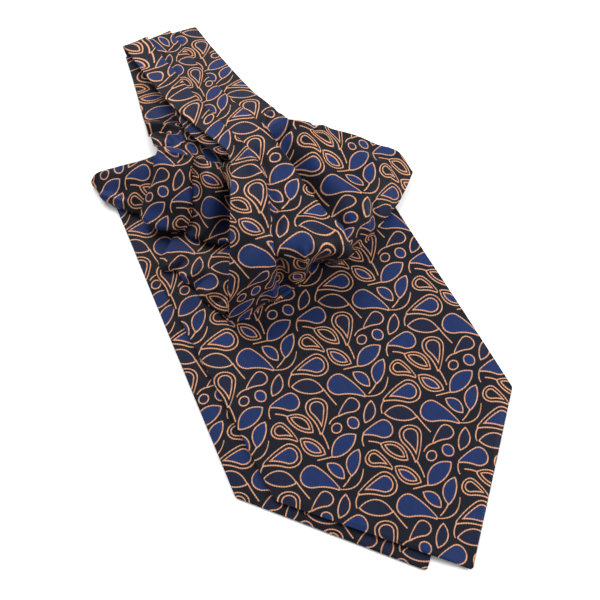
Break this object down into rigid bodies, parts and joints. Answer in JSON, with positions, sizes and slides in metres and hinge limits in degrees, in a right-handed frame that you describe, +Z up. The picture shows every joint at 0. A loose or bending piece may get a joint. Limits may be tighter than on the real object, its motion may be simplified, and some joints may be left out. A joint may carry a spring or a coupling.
{
  "type": "silk cravat, folded and laid flat",
  "caption": "Navy silk jacquard day cravat folded in half at its pleated neckband and laid down, pointed blades flat, the pleats opening into puffed fans.",
  "frame": {"origin": "on the surface the cravat lies on, under the front blade's centre line, level with its shoulders", "axes": "+Y along the front blade from its point towards the neckband, +X to the right as the front blade is seen, +Z up"},
  "size_m": [0.1865, 0.3868, 0.05],
  "materials": {
    "silk_jacquard": "satin jacquard, near-black ground with blue figures outlined in copper thread"
  },
  "bodies": {
    "root": {"front_blade": "silk_jacquard", "back_blade": "silk_jacquard", "front_fan": "silk_jacquard", "front_fan_side": "silk_jacquard", "front_fan_left_wing": "silk_jacquard", "back_fan": "silk_jacquard", "back_fan_wing": "silk_jacquard", "neckband_upper": "silk_jacquard", "neckband_lower": "silk_jacquard", "neckband_pleat": "silk_jacquard", "front_core": "silk_jacquard", "back_core": "silk_jacquard"}
  },
  "joints": []
}
